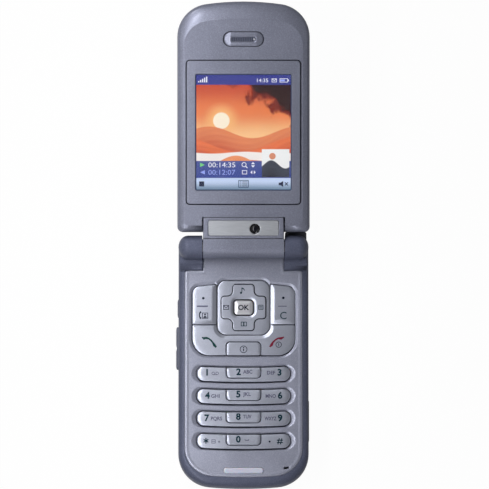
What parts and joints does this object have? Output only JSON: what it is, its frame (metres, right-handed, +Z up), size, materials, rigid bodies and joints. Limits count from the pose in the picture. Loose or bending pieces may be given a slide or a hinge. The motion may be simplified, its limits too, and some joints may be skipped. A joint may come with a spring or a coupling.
{
  "type": "clamshell mobile phone",
  "caption": "Open clamshell phone: keypad base with direction pad and side keys, barrel hinge, lid with colour display, earpiece and camera.",
  "frame": {"origin": "on the base's flat back, straight below the hinge axis, in the middle of the width", "axes": "+X across the phone to the right as the keypad is read, +Y from the hinge towards the lid's tip, +Z up out of the keypad; the base lies on its back"},
  "size_m": [0.0505, 0.1811, 0.0462],
  "materials": {
    "body_paint": "satin metallic paint, dark blue grey",
    "cover_paint": "silver metallic paint",
    "lid_paint": "grey metallic paint",
    "key_silver": "silver keys with a clear coat",
    "ok_silver": "bright silver",
    "side_trim": "dark grey plastic",
    "plate_silver": "fine brushed",
    "bumper_plastic": "pale translucent",
    "rubber_dark": "matte",
    "silicone": "translucent silicone",
    "plastic_black": "matte",
    "lens_black": "glossy",
    "display_glass": "clear window",
    "display_panel": "colour display",
    "board_green": "circuit board",
    "steel": "bright steel",
    "film": "film with metal domes",
    "flex_amber": "polyimide",
    "bush_plastic": "acetal",
    "battery_wrap": "dark pack"
  },
  "bodies": {
    "base": {"rear_housing": "body_paint", "front_cover": "cover_paint", "battery": "battery_wrap", "battery_cover": "body_paint", "circuit_board": "board_green", "shield_cans": "steel", "battery_contacts": "plastic_black", "sim_holder": "steel", "loudspeaker": "plastic_black", "vibration_motor": "steel", "microphone": "plastic_black", "keypad_mat": "silicone", "dome_sheet": "film", "side_switches": "steel", "data_connector": "steel", "antenna": "rubber_dark", "bumper_pad": "bumper_plastic", "housing_screws": "steel", "hinge_shaft": "steel", "hinge_pin": "steel"},
    "lid": {"lid_inner_cover": "lid_paint", "lid_outer_cover": "body_paint", "display_bezel": "lid_paint", "display_window": "display_glass", "display_module": "display_panel", "lid_circuit_board": "board_green", "outer_window": "display_glass", "outer_display": "display_panel", "earpiece_grille": "lid_paint", "earpiece_speaker": "plastic_black", "camera_housing": "lid_paint", "camera_plate": "plate_silver", "camera_lens": "lens_black", "camera_module": "plastic_black", "hinge_cartridge": "steel", "hinge_bush": "bush_plastic", "flex_cable": "flex_amber", "lid_screws": "steel"},
    "battery_latch": {"battery_latch": "side_trim"},
    "side_cover": {"side_cover": "rubber_dark"},
    "side_key": {"side_key": "side_trim"},
    "volume_rocker": {"volume_rocker": "side_trim"},
    "nav_pad": {"nav_pad": "key_silver"},
    "nav_actuator": {"nav_actuator": "silicone"},
    "ok_key": {"ok_key": "ok_silver"},
    "left_soft_key": {"left_soft_key": "key_silver"},
    "right_soft_key": {"right_soft_key": "key_silver"},
    "call_end_key": {"call_end_key": "key_silver"},
    "info_key": {"info_key": "key_silver"},
    "row_one_keys": {"row_one_keys": "key_silver"},
    "row_two_keys": {"row_two_keys": "key_silver"},
    "row_three_keys": {"row_three_keys": "key_silver"},
    "row_four_keys": {"row_four_keys": "key_silver"},
    "key_two": {"key_two": "key_silver"},
    "key_five": {"key_five": "key_silver"},
    "key_eight": {"key_eight": "key_silver"},
    "key_zero": {"key_zero": "key_silver"}
  },
  "joints": [
    {"name": "lid_hinge", "type": "hinge", "parent": "base", "child": "lid", "pos_m": [0, 0, 0.0196], "axis": [1, 0, 0], "range_deg": [0, 165]},
    {"name": "nav_up_down", "type": "hinge", "parent": "base", "child": "nav_actuator", "pos_m": [0, -0.0223, 0.0125], "axis": [1, 0, 0], "range_deg": [-1.5, 1.5], "stiffness_Nm_per_rad": 0.6},
    {"name": "nav_left_right", "type": "hinge", "parent": "nav_actuator", "child": "nav_pad", "pos_m": [0, -0.0223, 0.0125], "axis": [0, 1, 0], "range_deg": [-1.5, 1.5], "stiffness_Nm_per_rad": 0.6},
    {"name": "ok_key_press", "type": "slide", "parent": "base", "child": "ok_key", "axis": [0, 0, -1], "range_m": [0, 0.0003], "stiffness_N_per_m": 1000},
    {"name": "left_soft_key_press", "type": "slide", "parent": "base", "child": "left_soft_key", "axis": [0, 0, -1], "range_m": [0, 0.0003], "stiffness_N_per_m": 1000},
    {"name": "right_soft_key_press", "type": "slide", "parent": "base", "child": "right_soft_key", "axis": [0, 0, -1], "range_m": [0, 0.0003], "stiffness_N_per_m": 1000},
    {"name": "info_key_press", "type": "slide", "parent": "base", "child": "info_key", "axis": [0, 0, -1], "range_m": [0, 0.0003], "stiffness_N_per_m": 1000},
    {"name": "key_two_press", "type": "slide", "parent": "base", "child": "key_two", "axis": [0, 0, -1], "range_m": [0, 0.0003], "stiffness_N_per_m": 1000},
    {"name": "key_five_press", "type": "slide", "parent": "base", "child": "key_five", "axis": [0, 0, -1], "range_m": [0, 0.0003], "stiffness_N_per_m": 1000},
    {"name": "key_eight_press", "type": "slide", "parent": "base", "child": "key_eight", "axis": [0, 0, -1], "range_m": [0, 0.0003], "stiffness_N_per_m": 1000},
    {"name": "key_zero_press", "type": "slide", "parent": "base", "child": "key_zero", "axis": [0, 0, -1], "range_m": [0, 0.0003], "stiffness_N_per_m": 1000},
    {"name": "call_end_key_rock", "type": "hinge", "parent": "base", "child": "call_end_key", "pos_m": [0, -0.0351, 0.014], "axis": [0, 1, 0], "range_deg": [-0.9, 0.9], "stiffness_Nm_per_rad": 1.5},
    {"name": "row_one_keys_rock", "type": "hinge", "parent": "base", "child": "row_one_keys", "pos_m": [0, -0.0477, 0.014], "axis": [0, 1, 0], "range_deg": [-0.9, 0.9], "stiffness_Nm_per_rad": 1.5},
    {"name": "row_two_keys_rock", "type": "hinge", "parent": "base", "child": "row_two_keys", "pos_m": [0, -0.0563, 0.014], "axis": [0, 1, 0], "range_deg": [-0.9, 0.9], "stiffness_Nm_per_rad": 1.5},
    {"name": "row_three_keys_rock", "type": "hinge", "parent": "base", "child": "row_three_keys", "pos_m": [0, -0.0649, 0.014], "axis": [0, 1, 0], "range_deg": [-0.9, 0.9], "stiffness_Nm_per_rad": 1.5},
    {"name": "row_four_keys_rock", "type": "hinge", "parent": "base", "child": "row_four_keys", "pos_m": [0, -0.0735, 0.014], "axis": [0, 1, 0], "range_deg": [-0.9, 0.9], "stiffness_Nm_per_rad": 1.5},
    {"name": "side_key_press", "type": "slide", "parent": "base", "child": "side_key", "axis": [1, 0, 0], "range_m": [0, 0.0003], "stiffness_N_per_m": 1000},
    {"name": "volume_rock", "type": "hinge", "parent": "base", "child": "volume_rocker", "pos_m": [-0.0236, -0.0368, 0.008], "axis": [0, 0, 1], "range_deg": [-2, 2], "stiffness_Nm_per_rad": 0.5},
    {"name": "battery_latch_slide", "type": "slide", "parent": "base", "child": "battery_latch", "axis": [0, 1, 0], "range_m": [0, 0.0012], "stiffness_N_per_m": 300},
    {"name": "side_cover_open", "type": "hinge", "parent": "base", "child": "side_cover", "pos_m": [0.02475, -0.0649, 0.0054], "axis": [0, 1, 0], "range_deg": [0, 90]}
  ]
}
